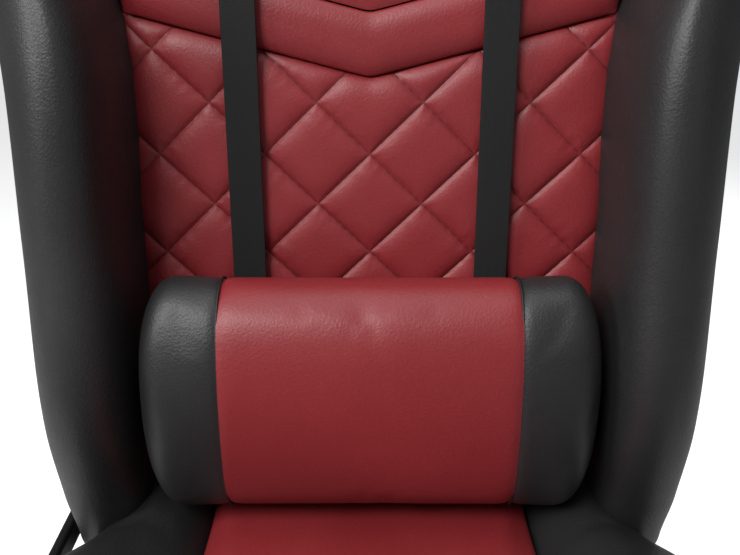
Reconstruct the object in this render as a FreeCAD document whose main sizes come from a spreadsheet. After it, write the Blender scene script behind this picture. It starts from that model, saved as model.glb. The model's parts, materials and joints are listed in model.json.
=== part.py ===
import FreeCAD, Part
import os
import re
import Sketcher

# Gaming chair on a five-leg swivel base. X is to the sitter's left-right, the chair faces -Y,
# Z is up, and the origin is on the floor under the gas column. Millimetres and degrees.

doc = FreeCAD.newDocument("GamingChair")
sheet = doc.addObject("Spreadsheet::Sheet", "Sizes")
leg_count = 5

sizes = {
    # fits
    "running_fit": 0.05, "slide_gap": 0.3, "soft_gap": 1.5, "side_play": 0.5,
    # base and casters
    "base_radius": 320, "hub_radius": 36, "hub_low": 74, "hub_top": 150, "leg_root_width": 50,
    "leg_root_low": 92, "leg_root_top": 142, "leg_tip_width": 30, "leg_tip_top": 98,
    "boss_radius": 17, "boss_low": 68, "stem_radius": 5.5, "stem_length": 24,
    "wheel_radius": 30, "wheel_width": 19, "wheel_gap": 12, "caster_trail": 22, "axle_radius": 4,
    "hood_wall": 2, "hood_room": 1,
    # gas column
    "stand_radius": 25, "stand_wall": 3, "stand_low": 62, "stand_top": 285, "bush_length": 40,
    "cylinder_radius": 14, "cylinder_wall": 2, "cylinder_low": 120, "gland_height": 15,
    "piston_rod_radius": 5, "lift_travel": 80, "bearing_radius": 15, "bearing_height": 6,
    "shroud_radius": 31, "shroud_wall": 2, "shroud_height": 100,
    # tilt housing
    "housing_low": 305, "housing_height": 47, "housing_width": 150, "housing_rear": 120,
    "housing_front": 128, "housing_socket": 17, "shaft_ahead": 45, "shaft_rise": 35,
    "shaft_radius": 8, "cup_radius": 26, "cup_depth": 43, "cup_ahead": 100, "knob_radius": 27,
    "knob_height": 30, "bolt_radius": 5, "spring_radius": 14, "spring_wire": 2.5,
    "lever_radius": 4, "lever_reach": 262, "lever_pivot": 45, "lever_slot": 24, "lock_behind": 60,
    # seat
    "plate_gap": 11, "plate_thick": 5, "plate_width": 200, "plate_length": 250, "plate_bolt_x": 86,
    "rail_width": 40, "rail_thick": 8, "seat_tube_radius": 12.5, "seat_tube_half": 205,
    "seat_tube_front": 245, "seat_tube_rear": 190, "tube_corner": 45, "webbing_thick": 1.5,
    "seat_foam": 75, "seat_slope": 3, "seat_front": 290, "seat_half": 260, "seat_panel_half": 132,
    "seat_bolster_rise": 30,
    # backrest
    "back_offset": 215, "back_lean": 6, "hinge_behind": 35, "hinge_drop": 30, "hinge_radius": 28,
    "hinge_pin_radius": 8, "hinge_plate": 6, "back_plate": 5, "link_radius": 5, "cover_radius": 46,
    "cover_thick": 15, "cover_offset": 243, "handle_thick": 10, "handle_length": 125,
    "panel_half": 183, "panel_foam": 50, "bolster_depth": 80, "seam_height": 400, "seam_drop": 47,
    "shoulder_height": 470, "shoulder_half": 275, "wing_top": 560, "neck_height": 640,
    "neck_half": 165, "head_half": 150, "back_height": 830, "back_tube_radius": 11,
    "back_tube_half": 218, "shell_depth": 27, "shell_wall": 3,
    # straps, slots and pillow
    "strap_offset": 95, "strap_width": 25, "strap_thick": 1.5, "slot_offset": 92, "slot_width": 50,
    "slot_height": 30, "slot_low": 615, "bezel_wall": 6, "bezel_lip": 5, "pillow_half": 174,
    "pillow_low": 12, "pillow_height": 204, "pillow_depth": 90,
    # armrests
    "arm_offset": 312, "arm_ahead": 50, "sleeve_width": 34, "sleeve_length": 60, "sleeve_wall": 5,
    "sleeve_top": 590, "sleeve_floor": 400, "post_low": 470, "post_top": 662, "pad_width": 90,
    "pad_length": 260, "pad_thick": 28, "button_radius": 7, "button_length": 12,
    "button_press": 3, "button_below": 22,
}
for row, (name, number) in enumerate(sizes.items(), 1):
    sheet.set("A%d" % row, name)
    sheet.set("B%d" % row, str(number))
    sheet.setAlias("B%d" % row, name)
doc.recompute()

# Levels and lines that follow from the sheet, written as expressions
plate_low = "(housing_low + housing_height + plate_gap)"
frame_low = f"({plate_low} + plate_thick)"
seat_tube_z = f"({frame_low} + seat_tube_radius)"
webbing_low = f"({frame_low} + 2 * seat_tube_radius)"
cushion_low = f"({webbing_low} + webbing_thick + slide_gap)"
seat_top = f"({cushion_low} + seat_foam)"
hinge_y = "(back_offset + hinge_behind * cos(back_lean) - hinge_drop * sin(back_lean))"
hinge_z = f"({seat_top} - hinge_behind * sin(back_lean) - hinge_drop * cos(back_lean))"
cylinder_top = "(housing_low + housing_socket)"
lever_z = f"({cylinder_top} + 2.5 * lever_radius)"
shaft_z = "(housing_low + shaft_rise)"
inner_plate_x = "(seat_tube_half + seat_tube_radius)"
outer_plate_x = f"({inner_plate_x} + hinge_plate + side_play)"
shell_back = "(panel_foam + shell_depth)"
back_tube_y = "(panel_foam + 1 + back_tube_radius)"
post_half_x = "(sleeve_width / 2 - sleeve_wall - slide_gap)"

holder = doc.addObject("App::FeaturePython", "Holder")
nodes = {}


def bound(expression):
    # a name with an underscore is a cell of the sheet
    return re.sub(r"\b([a-z]+(?:_[a-z]+)+)\b", r"Sizes.\1", str(expression))


def value(expression):
    return float(holder.evalExpression(bound(expression)))


def place(thing, spot, axis=(0, 0, 1), angle="0"):
    where = "vector(%s; %s; %s)" % tuple(bound(part) for part in spot)
    turn = "rotation(vector(%d; %d; %d); %s)" % (*axis, bound(angle))
    thing.setExpression("Placement", "placement(%s; %s)" % (where, turn))
    return thing


def box(label, size, corner):
    thing = doc.addObject("Part::Box", label)
    for side, length in zip(("Length", "Width", "Height"), size):
        thing.setExpression(side, bound(length))
    return place(thing, corner)


def centred_box(label, size, spot):
    # spot is the middle of the box in X and Y and its underside in Z
    corner = (f"{spot[0]} - ({size[0]}) / 2", f"{spot[1]} - ({size[1]}) / 2", spot[2])
    return box(label, size, corner)


def rod(label, radius, length, start, along="Z"):
    thing = doc.addObject("Part::Cylinder", label)
    thing.setExpression("Radius", bound(radius))
    thing.setExpression("Height", bound(length))
    turns = {"X": ((0, 1, 0), "90"), "Y": ((1, 0, 0), "-90"), "Z": ((0, 0, 1), "0")}
    return place(thing, start, *turns[along])


def fuse(label, *pieces):
    thing = doc.addObject("Part::MultiFuse", label)
    thing.Shapes = list(pieces)
    return thing


def cut(label, base, *tools):
    thing = doc.addObject("Part::Cut", label)
    thing.Base = base
    thing.Tool = tools[0] if len(tools) == 1 else fuse(label + "_tools", *tools)
    return thing


def common(label, first, second):
    thing = doc.addObject("Part::MultiCommon", label)
    thing.Shapes = [first, second]
    return thing


def ring(label, outer, inner, length, start):
    # the bore's tool is as long as the ring, so its end faces match
    return cut(label, rod(label + "_outer", outer, length, start),
               rod(label + "_inner", inner, length, start))


def mirrored(label, source):
    thing = doc.addObject("Part::Mirroring", label)
    thing.Source = source
    thing.Normal = FreeCAD.Vector(1, 0, 0)
    return thing


def group(label, *pieces):
    thing = doc.addObject("Part::Compound", label)
    thing.Links = list(pieces)
    return thing


def rounded(label, base, radius, chosen):
    doc.recompute()
    size = value(radius)
    thing = doc.addObject("Part::Fillet", label)
    thing.Base = base
    thing.Edges = [(number, size, size) for number, edge in enumerate(base.Shape.Edges, 1)
                   if chosen(edge)]
    return thing


def along(axis):
    # chooses straight edges that run along an axis
    direction = {"X": FreeCAD.Vector(1, 0, 0), "Y": FreeCAD.Vector(0, 1, 0),
                 "Z": FreeCAD.Vector(0, 0, 1)}[axis]

    def chosen(edge):
        if edge.Curve.TypeId != "Part::GeomLine":
            return False
        return abs(edge.Curve.Direction.dot(direction)) > 0.999
    return chosen


def draw(sketch, corners):
    # a closed outline with each corner held to its expressions
    points = [FreeCAD.Vector(value(x), value(y), 0) for x, y in corners]
    count = len(points)
    for number in range(count):
        sketch.addGeometry(Part.LineSegment(points[number], points[(number + 1) % count]), False)
    for number in range(count):
        sketch.addConstraint(Sketcher.Constraint("Coincident", number, 2, (number + 1) % count, 1))
    for number, corner in enumerate(corners):
        for kind, expression in zip(("DistanceX", "DistanceY"), corner):
            size = value(expression)
            index = sketch.addConstraint(Sketcher.Constraint(kind, -1, 1, number, 1, size))
            sketch.setExpression("Constraints[%d]" % index, bound(expression))


def outline(label, facing, corners, spot=("0", "0", "0")):
    # facing XY draws x, y; facing XZ draws x, z; facing YZ draws y, z
    sketch = doc.addObject("Sketcher::SketchObject", label)
    draw(sketch, corners)
    turns = {"XY": ((0, 0, 1), "0"), "XZ": ((1, 0, 0), "90"), "YZ": ((1, 1, 1), "120")}
    return place(sketch, spot, *turns[facing])


def extruded(label, sketch, length, backwards=False):
    thing = doc.addObject("Part::Extrusion", label)
    thing.Base = sketch
    thing.DirMode = "Normal"
    thing.Solid = True
    thing.Reversed = backwards
    thing.setExpression("LengthFwd", bound(length))
    return thing


def lofted(label, *sketches):
    thing = doc.addObject("Part::Loft", label)
    thing.Sections = list(sketches)
    thing.Solid = True
    thing.Ruled = True
    return thing


def keep(label, thing):
    nodes[label] = thing


def keep_pair(label, right):
    # the right piece is at +X and the left one is its mirror image
    keep(label + "_right", right)
    keep(label + "_left", mirrored(label + "_left_shape", right))


def on_back(thing):
    # backrest pieces are drawn with the panel's front at y = 0 and the seat's surface at z = 0
    return place(thing, ("0", "back_offset", seat_top), (1, 0, 0), "-back_lean")


# ---------------------------------------------------------------- base and casters

def five_around(label, thing):
    copies = []
    for leg in range(leg_count):
        copy = group("%s_%d" % (label, leg + 1), thing)
        copies.append(place(copy, ("0", "0", "0"), angle=str(360 / leg_count * leg)))
    return copies


def base_star():
    root = outline("leg_root", "XZ", [
        ("-leg_root_width / 2", "leg_root_low"), ("leg_root_width / 2", "leg_root_low"),
        ("leg_root_width / 2 - 8", "leg_root_top"), ("-leg_root_width / 2 + 8", "leg_root_top")],
        ("0", "-hub_radius / 2", "0"))
    tip = outline("leg_tip", "XZ", [
        ("-leg_tip_width / 2", "boss_low"), ("leg_tip_width / 2", "boss_low"),
        ("leg_tip_width / 2 - 5", "leg_tip_top"), ("-leg_tip_width / 2 + 5", "leg_tip_top")],
        ("0", "-base_radius", "0"))
    boss = rod("leg_boss", "boss_radius", "leg_tip_top - boss_low", ("0", "-base_radius", "boss_low"))
    socket = rod("stem_socket", "stem_radius + running_fit", "stem_length + 1",
                 ("0", "-base_radius", "boss_low - 1"))
    leg = cut("leg", fuse("leg_solid", lofted("leg_beam", root, tip), boss), socket)
    hub = rod("hub", "hub_radius", "hub_top - hub_low", ("0", "0", "hub_low"))
    bore = rod("hub_bore", "stand_radius", "hub_top - hub_low + 2", ("0", "0", "hub_low - 1"))
    keep("base_star", cut("star", fuse("star_solid", hub, *five_around("leg", leg)), bore))


def caster():
    # one caster under the leg at -Y, turned to the other legs
    axle_y = "(-base_radius - caster_trail)"
    hood_radius = "(wheel_radius + hood_room + hood_wall)"
    half = "(wheel_gap / 2 + wheel_width + hood_room)"
    drum = rod("hood_drum", hood_radius, f"2 * {half}", (f"-{half}", axle_y, "wheel_radius"), "X")
    below = box("hood_below", (f"2 * {half} + 2", "4 * wheel_radius", "wheel_radius * 2.3"),
                (f"-{half} - 1", f"{axle_y} - 2 * wheel_radius", "-wheel_radius"))
    web = rod("fork_web", "wheel_radius * 0.8", "wheel_gap - 1",
              ("-wheel_gap / 2 + 0.5", axle_y, "wheel_radius"), "X")
    neck = rod("fork_neck", "2 * stem_radius", "boss_low - slide_gap - 1.6 * wheel_radius",
               ("0", "-base_radius", "1.6 * wheel_radius"))
    stem = rod("fork_stem", "stem_radius", "boss_low - 2 * wheel_radius + stem_length - 1",
               ("0", "-base_radius", "2 * wheel_radius"))
    rooms = []
    for side in (-1, 1):
        inner = "wheel_gap / 2 - hood_room / 4" if side > 0 else f"-{half} - 1"
        rooms.append(rod("wheel_room", "wheel_radius + hood_room",
                         "wheel_width + 2 * hood_room + 1.25 * hood_room",
                         (inner, axle_y, "wheel_radius"), "X"))
    solid = fuse("fork_solid", cut("hood", drum, below), web, neck, stem)
    axle = rod("axle", "axle_radius", "wheel_gap + 2 * wheel_width - 4",
               ("-wheel_gap / 2 - wheel_width + 2", axle_y, "wheel_radius"), "X")
    fork = fuse("fork", cut("fork_cleared", solid, *rooms), axle)
    wheels = group("wheels", wheel(axle_y), mirrored("wheel_mirror", nodes.pop("wheel")))
    for leg, copy in enumerate(five_around("fork_copy", fork), 1):
        keep("caster_fork_%d" % leg, copy)
    for leg, copy in enumerate(five_around("wheels_copy", wheels), 1):
        keep("caster_wheels_%d" % leg, copy)


def wheel(axle_y):
    body = doc.addObject("PartDesign::Body", "wheel_body")
    sketch = body.newObject("Sketcher::SketchObject", "wheel_section")
    planes = [item for item in body.Origin.OriginFeatures if item.Role == "XY_Plane"]
    sketch.AttachmentSupport = [(planes[0], "")]
    sketch.MapMode = "FlatFace"
    near = "wheel_gap / 2"
    far = "wheel_gap / 2 + wheel_width"
    bore = "axle_radius + running_fit"
    draw(sketch, [
        (near, bore), (near, "wheel_radius - 3"), (f"{near} + 3", "wheel_radius"),
        (f"{far} - 4", "wheel_radius"), (far, "wheel_radius - 4"), (far, "wheel_radius * 0.72"),
        (f"{far} - 4", "wheel_radius * 0.66"), (f"{far} - 4", "wheel_radius * 0.3"),
        (f"{far} - 1", "wheel_radius * 0.25"), (f"{far} - 1", bore)])
    turning = body.newObject("PartDesign::Revolution", "wheel_revolved")
    turning.Profile = sketch
    turning.ReferenceAxis = (sketch, ["H_Axis"])
    turning.Angle = 360
    nodes["wheel"] = place(body, ("0", axle_y, "wheel_radius"))
    return body


# ---------------------------------------------------------------- gas column

def gas_column():
    inside = "(stand_radius - stand_wall)"
    tube = rod("stand_outer", "stand_radius", "stand_top - stand_low", ("0", "0", "stand_low"))
    hollow = rod("stand_hollow", inside, "stand_top - stand_low", ("0", "0", "stand_low + 4"))
    hole = rod("stand_hole", "piston_rod_radius + running_fit", "10", ("0", "0", "stand_low - 1"))
    keep("stand_tube", cut("stand", tube, hollow, hole))
    keep("guide_bush", ring("bush", inside, "cylinder_radius + running_fit", "bush_length",
                            ("0", "0", "stand_top - bush_length")))
    keep("thrust_bearing", ring("bearing", "bearing_radius", "piston_rod_radius + running_fit",
                                "bearing_height", ("0", "0", "stand_low + 4")))
    shoulder_z = "(stand_low + 4 + bearing_height)"
    piston_z = "(cylinder_low + gland_height + lift_travel + 5)"
    main = rod("rod_main", "piston_rod_radius", f"{piston_z} - stand_low + 8",
               ("0", "0", "stand_low - 6"))
    shoulder = rod("rod_shoulder", "piston_rod_radius + 4", "6", ("0", "0", shoulder_z))
    piston = rod("piston", "cylinder_radius - cylinder_wall - running_fit", "10",
                 ("0", "0", piston_z))
    keep("piston_rod", fuse("rod_solid", main, shoulder, piston))
    keep("rod_clip", ring("clip", "piston_rod_radius + 4", "piston_rod_radius", "2",
                          ("0", "0", "stand_low - 2.1")))
    wall = rod("cylinder_outer", "cylinder_radius", f"{cylinder_top} - cylinder_low",
               ("0", "0", "cylinder_low"))
    chamber = rod("cylinder_chamber", "cylinder_radius - cylinder_wall",
                  f"{cylinder_top} - cylinder_low - 2 * gland_height - 5",
                  ("0", "0", "cylinder_low + gland_height"))
    gland = rod("gland_bore", "piston_rod_radius + running_fit", "gland_height + 2",
                ("0", "0", "cylinder_low - 1"))
    valve = rod("valve_bore", "bolt_radius - 2 + running_fit", "13",
                ("0", "0", f"{cylinder_top} - 12"))
    keep("gas_cylinder", cut("cylinder", wall, chamber, gland, valve))
    keep("valve_pin", rod("pin", "bolt_radius - 2", f"1.5 * lever_radius + 7.7",
                          ("0", "0", f"{cylinder_top} - 8")))


def shrouds():
    # three sleeves, each outside the one below
    step = "(shroud_wall + slide_gap)"
    lows = ("hub_top", "(hub_top + housing_low - shroud_height) / 2", "housing_low - shroud_height")
    for number, (name, low) in enumerate(zip(("lower", "middle", "upper"), lows)):
        outer = f"shroud_radius + {number} * {step}"
        keep(name + "_shroud", ring(name + "_ring", outer, f"{outer} - shroud_wall",
                                    "shroud_height", ("0", "0", low)))


# ---------------------------------------------------------------- tilt housing and its levers

def tilt_housing():
    top = "(housing_low + housing_height)"
    side = outline("housing_side", "YZ", [
        ("-housing_front", "housing_low"), ("housing_rear", "housing_low"),
        ("housing_rear", "housing_low + 13"), ("-30", top), ("-housing_front", top)],
        ("-housing_width / 2", "0", "0"))
    block = extruded("housing_block", side, "housing_width")
    edged = rounded("housing_edged", block, "6", along("Z"))
    cup = rod("spring_cup", "cup_radius", "cup_depth", ("0", "-cup_ahead", "housing_low - cup_depth"))
    cup_room = rod("cup_room", "cup_radius - 4", "cup_depth - 3",
                   ("0", "-cup_ahead", "housing_low - cup_depth + 3"))
    bolt_bore = rod("bolt_bore", "bolt_radius", "cup_depth + housing_height - 2",
                    ("0", "-cup_ahead", "housing_low - cup_depth"))
    socket = rod("cylinder_socket", "cylinder_radius", "housing_socket + 1", ("0", "0", "housing_low - 1"))
    slot = box("lever_slot", ("housing_width / 2 + 12 + 1", "lever_slot", "housing_height"),
               ("-12", "-lever_slot / 2", cylinder_top))
    pivot = rod("pivot_bore", "3 + running_fit", "lever_slot + 14",
                ("lever_pivot", "-lever_slot / 2 - 7", lever_z), "Y")
    shaft = rod("shaft_bore", "shaft_radius", "housing_width + 2",
                ("-housing_width / 2 - 1", "-shaft_ahead", shaft_z), "X")
    lock = rod("lock_bore", "lever_radius + running_fit", "housing_width / 2 - 15",
               ("-housing_width / 2 - 1", "lock_behind", "housing_low + 11"), "X")
    hollowed = cut("housing", fuse("housing_solid", edged, cup), cup_room, bolt_bore, socket, slot,
                   pivot, shaft, lock)
    # drawn with the height lever's slot at +X, then mirrored so that it opens to the sitter's right
    keep("tilt_housing", mirrored("housing_shape", hollowed))
    keep("tilt_shaft", rod("shaft", "shaft_radius", "housing_width + 24",
                           ("-housing_width / 2 - 12", "-shaft_ahead", shaft_z), "X"))
    keep("tension_bolt", rod("bolt", "bolt_radius", "cup_depth + housing_height + knob_height - 14",
                             ("0", "-cup_ahead", "housing_low - cup_depth - knob_height + 8")))


def tension_parts():
    spring_low = "(housing_low - cup_depth + 3 + spring_wire)"
    coil = doc.addObject("Part::Helix", "spring_path")
    coil.setExpression("Radius", bound("spring_radius"))
    coil.setExpression("Height", bound("cup_depth - 3 - 2 * spring_wire"))
    coil.setExpression("Pitch", bound("(cup_depth - 3 - 2 * spring_wire) / 4"))
    wire = doc.addObject("Part::Circle", "spring_section")
    wire.setExpression("Radius", bound("spring_wire"))
    place(wire, ("spring_radius", "0", "0"), (1, 0, 0), "90")
    spring = doc.addObject("Part::Sweep", "spring")
    spring.Sections = [wire]
    spring.Spine = (coil, [])
    spring.Solid = True
    spring.Frenet = True
    keep("tension_spring", place(spring, ("0", "-cup_ahead", spring_low)))
    low = "(housing_low - cup_depth - slide_gap - knob_height)"
    grip = rod("knob_grip", "knob_radius", "knob_height", ("0", "-cup_ahead", low))
    hollow = rod("knob_bore", "bolt_radius + running_fit", "knob_height",
                 ("0", "-cup_ahead", f"{low} + 8 - 1"))
    flutes = []
    for number in range(10):
        flute = rod("knob_flute", "4", "knob_height + 2", ("knob_radius + 1", "0", "0"))
        turned = group("knob_flute_copy", flute)
        flutes.append(place(turned, ("0", "-cup_ahead", f"{low} - 1"), angle=str(36 * number)))
    keep("tension_knob", cut("knob", rounded("knob_edged", grip, "3", round_edge), hollow, *flutes))


def round_edge(edge):
    return edge.Curve.TypeId == "Part::GeomCircle"


def levers():
    bar = rod("lift_bar", "lever_radius", "lever_reach - 90", ("-6", "0", lever_z), "X")
    paddle = box("lift_paddle", ("100", "30", "7"), ("lever_reach - 100", "-15", f"{lever_z} - 3.5"))
    pivot = rod("lift_pivot", "3", "lever_slot + 12", ("lever_pivot", "-lever_slot / 2 - 6", lever_z), "Y")
    lift = fuse("lift_lever", bar, rounded("lift_edged", paddle, "12", along("Z")), pivot)
    keep("height_lever", mirrored("lift_lever_shape", lift))
    lock_z = "(housing_low + 11)"
    lock_bar = rod("lock_bar", "lever_radius", "lever_reach - 20 - 100",
                   ("-lever_reach + 80", "lock_behind", lock_z), "X")
    lock_paddle = box("lock_paddle", ("90", "30", "7"),
                      ("-lever_reach", "lock_behind - 15", f"{lock_z} - 3.5"))
    lock = fuse("lock_lever", lock_bar, rounded("lock_edged", lock_paddle, "12", along("Z")))
    keep("tilt_lock_lever", mirrored("lock_lever_shape", lock))


# ---------------------------------------------------------------- seat

def seat_plate():
    plate = box("plate", ("plate_width", "plate_length", "plate_thick"),
                ("-plate_width / 2", "-plate_length / 2 + 5", plate_low))
    ears = []
    bores = []
    ear_x = "(housing_width / 2 + side_play)"
    for side in (-1, 1):
        start = ear_x if side > 0 else f"(-{ear_x} - 6)"
        ears.append(box("ear", ("6", "32", f"{plate_low} - {shaft_z}"),
                        (start, "-shaft_ahead - 16", shaft_z)))
        ears.append(rod("ear_end", "16", "6", (start, "-shaft_ahead", shaft_z), "X"))
    bores.append(rod("ear_bore", "shaft_radius + running_fit", "housing_width + 20",
                     ("-housing_width / 2 - 10", "-shaft_ahead", shaft_z), "X"))
    for x, y in plate_bolt_spots():
        bores.append(rod("plate_bore", "4", "plate_thick + 2", (x, y, f"{plate_low} - 1")))
    keep("seat_plate", cut("plate_bored", fuse("plate_solid", plate, *ears), *bores))
    bolts = []
    for x, y in plate_bolt_spots():
        head = rod("bolt_head", "7", "5", (x, y, f"{plate_low} - 5"))
        shank = rod("bolt_shank", "4", "plate_thick + rail_thick", (x, y, plate_low))
        nut = rod("bolt_nut", "7", "6", (x, y, f"{frame_low} + rail_thick"))
        bolts.append(fuse("plate_bolt", head, shank, nut))
    keep("plate_bolts", group("bolts", *bolts))


def plate_bolt_spots():
    return [(f"{side} * plate_bolt_x", y) for side in (-1, 1)
            for y in ("-plate_length / 2 + 35", "plate_length / 2 - 30")]


def seat_frame():
    half = "(seat_tube_half - tube_corner)"
    front = "(-seat_tube_front + tube_corner)"
    rear = "(seat_tube_rear - tube_corner)"
    span = f"{rear} - {front}"
    tubes = [
        rod("tube_front", "seat_tube_radius", f"2 * {half}", (f"-{half}", "-seat_tube_front", seat_tube_z), "X"),
        rod("tube_rear", "seat_tube_radius", f"2 * {half}", (f"-{half}", "seat_tube_rear", seat_tube_z), "X"),
        rod("tube_right", "seat_tube_radius", span, ("seat_tube_half", front, seat_tube_z), "Y"),
        rod("tube_left", "seat_tube_radius", span, ("-seat_tube_half", front, seat_tube_z), "Y")]
    corners = ((half, rear, 0), (f"-{half}", rear, 90), (f"-{half}", front, 180), (half, front, 270))
    for x, y, angle in corners:
        bend = doc.addObject("Part::Torus", "tube_bend")
        bend.setExpression("Radius1", bound("tube_corner"))
        bend.setExpression("Radius2", bound("seat_tube_radius"))
        bend.Angle3 = 90
        tubes.append(place(bend, (x, y, seat_tube_z), angle=str(angle)))
    for side in (-1, 1):
        tubes.append(box("rail", ("rail_width", "seat_tube_front + seat_tube_rear", "rail_thick"),
                         (f"{side} * plate_bolt_x - rail_width / 2", "-seat_tube_front", frame_low)))
    holes = [rod("rail_bore", "4", "rail_thick + 2", (x, y, f"{frame_low} - 1"))
             for x, y in plate_bolt_spots()]
    keep("seat_frame", cut("frame", fuse("frame_solid", *tubes), *holes))
    bands = []
    band_count = 5
    for number in range(band_count):
        y = f"(-seat_tube_front + (seat_tube_front + seat_tube_rear) * {number + 1} / {band_count + 1})"
        bands.append(box("band", ("2 * seat_tube_half", "45", "webbing_thick"),
                         ("-seat_tube_half", f"{y} - 22.5", webbing_low)))
    keep("seat_webbing", group("webbing", *bands))


def cushion(label, plan, side, reach, rounding, chosen):
    # a padded block: its plan from above cut to its profile from the side
    block = extruded(label + "_block", outline(label + "_plan", "XY", plan, ("0", "0", cushion_low)),
                     "3 * seat_foam")
    profile = extruded(label + "_profile", outline(label + "_side", "YZ", side, reach), "2 * seat_half")
    return rounded(label + "_soft", common(label + "_cut", block, profile), rounding, chosen)


def seat_cushions():
    rise = "(seat_front + back_offset) * tan(seat_slope)"
    rear = "(back_offset - 9)"
    front_top = f"({seat_top} + {rise} - 4)"
    side = [("-seat_front", cushion_low), (rear, cushion_low), (rear, seat_top),
            ("-seat_front + 70", front_top), ("-seat_front", f"{front_top} - 26")]
    half = "(seat_panel_half - soft_gap / 2)"
    plan = [(f"-{half} - 6", "-seat_front"), (f"{half} + 6", "-seat_front"), (half, rear),
            (f"-{half}", rear)]
    keep("seat_center_pad", cushion("seat_pad", plan, side, ("-seat_half", "0", "0"), "8", near_top))
    inner = "(seat_panel_half + soft_gap / 2)"
    plan = [(f"{inner} + 6", "-seat_front"), ("seat_half - 22", "-seat_front"),
            ("seat_half", "-seat_front + 40"), ("seat_half", "back_offset - 110"),
            ("panel_half + 30", "back_offset - 65"), ("panel_half + 1", "back_offset - 10"),
            (inner, rear)]
    crest = f"({front_top} + seat_bolster_rise)"
    side = [("-seat_front", cushion_low), (rear, cushion_low), (rear, f"{seat_top} + 2"),
            ("back_offset - 75", f"{seat_top} + 5"), ("back_offset - 185", f"{seat_top} + 32"),
            ("-seat_front + 70", crest), ("-seat_front", f"{crest} - 34")]
    keep_pair("seat_bolster", cushion("seat_wing", plan, side, ("-seat_half", "0", "0"), "6", near_top))


def near_top(edge):
    # edges of a seat cushion's upper faces, not its underside or its upright corners
    low = min(vertex.Z for vertex in edge.Vertexes)
    return low > value(cushion_low) + 20


# ---------------------------------------------------------------- recliner

def recliners():
    plate = extruded("recliner_plate", outline("recliner_side", "YZ", [
        ("back_offset - 135", f"{frame_low} + 1"), ("back_offset - 55", f"{frame_low} + 1"),
        (f"{hinge_y} + hinge_radius * 0.7", f"{hinge_z} - hinge_radius * 0.7"),
        (f"{hinge_y} - hinge_radius * 0.3", f"{hinge_z} + hinge_radius * 0.9"),
        ("back_offset - 65", f"{cushion_low} - 5"), ("back_offset - 135", f"{cushion_low} - 5")],
        (inner_plate_x, "0", "0")), "hinge_plate")
    eye = rod("recliner_eye", "hinge_radius", "hinge_plate", (inner_plate_x, hinge_y, hinge_z), "X")
    pin = rod("recliner_pin", "hinge_pin_radius", f"cover_offset - {inner_plate_x}",
              (inner_plate_x, hinge_y, hinge_z), "X")
    keep_pair("recliner", fuse("recliner_solid", plate, eye, pin))
    keep("recliner_link_rod", rod("link_rod", "link_radius", f"2 * {inner_plate_x}",
                                  (f"-{inner_plate_x}", hinge_y, hinge_z), "X"))
    disc = rod("cover_disc", "cover_radius", "cover_thick", ("cover_offset", hinge_y, hinge_z), "X")
    bore = rod("cover_bore", "6 + running_fit", "9", ("cover_offset + cover_thick - 8", hinge_y, hinge_z), "X")
    keep_pair("hinge_cover", cut("cover", rounded("cover_edged", disc, "4", round_edge), bore))
    lever_x = "(cover_offset + cover_thick + 1)"
    hub = rod("handle_hub", "18", "handle_thick", (lever_x, hinge_y, hinge_z), "X")
    arm = box("handle_arm", ("handle_thick", "handle_length", "22"),
              (lever_x, f"{hinge_y} - handle_length", f"{hinge_z} - 11"))
    spindle = rod("handle_spindle", "6", "8", (f"{lever_x} - 8", hinge_y, hinge_z), "X")
    handle = fuse("handle", hub, rounded("handle_edged", arm, "4", along("Y")), spindle)
    keep("recline_lever", mirrored("handle_shape", handle))


# ---------------------------------------------------------------- backrest

def back_tube(label, start, end):
    # a straight frame tube from one (x, u) to another, with a ball at its upper end
    run = f"(({end[0]}) - ({start[0]}))"
    climb = f"(({end[1]}) - ({start[1]}))"
    tube = doc.addObject("Part::Cylinder", label)
    tube.setExpression("Radius", bound("back_tube_radius"))
    tube.setExpression("Height", bound(f"sqrt({run}^2 + {climb}^2)"))
    place(tube, (start[0], back_tube_y, start[1]), (0, 1, 0), f"atan({run} / {climb})")
    ball = doc.addObject("Part::Sphere", label + "_ball")
    ball.setExpression("Radius", bound("back_tube_radius"))
    place(ball, (end[0], back_tube_y, end[1]))
    return [tube, ball]


def back_frame():
    pieces = []
    path = [("back_tube_half", "10"), ("back_tube_half", "seam_height - 20"),
            ("neck_half - 24", "neck_height + 25"), ("head_half - 34", "back_height - 60")]
    for start, end in zip(path, path[1:]):
        pieces += back_tube("side_tube", start, end)
    plate_front = "(panel_foam + 1)"
    arm = extruded("back_arm", outline("back_arm_side", "YZ", [
        ("hinge_behind - hinge_radius * 0.9", "-hinge_drop - 12"),
        ("hinge_behind + hinge_radius * 0.9", "-hinge_drop - 12"),
        (f"{plate_front} + 2 * back_tube_radius", "0"), (f"{plate_front} + 2 * back_tube_radius", "120"),
        (plate_front, "120"), (plate_front, "-4"), ("hinge_behind - hinge_radius * 0.9", "-hinge_drop + 12")],
        (outer_plate_x, "0", "0")), "back_plate")
    eye = rod("back_eye", "hinge_radius", "back_plate", (outer_plate_x, "hinge_behind", "-hinge_drop"), "X")
    bore = rod("back_bore", "hinge_pin_radius + running_fit", "back_plate + 2",
               (f"{outer_plate_x} - 1", "hinge_behind", "-hinge_drop"), "X")
    right = cut("frame_right", fuse("frame_right_solid", *pieces, arm, eye), bore)
    bars = []
    for label, half, level in (("bar_low", "back_tube_half", "90"),
                               ("bar_seam", "back_tube_half", "seam_height - 20"),
                               ("bar_top", "(head_half - 34)", "back_height - 60")):
        bars.append(rod(label, "back_tube_radius", f"2 * {half}",
                        (f"-{half}", back_tube_y, level), "X"))
    keep("back_frame", on_back(fuse("frame_back", right, mirrored("frame_left", right), *bars)))


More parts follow.
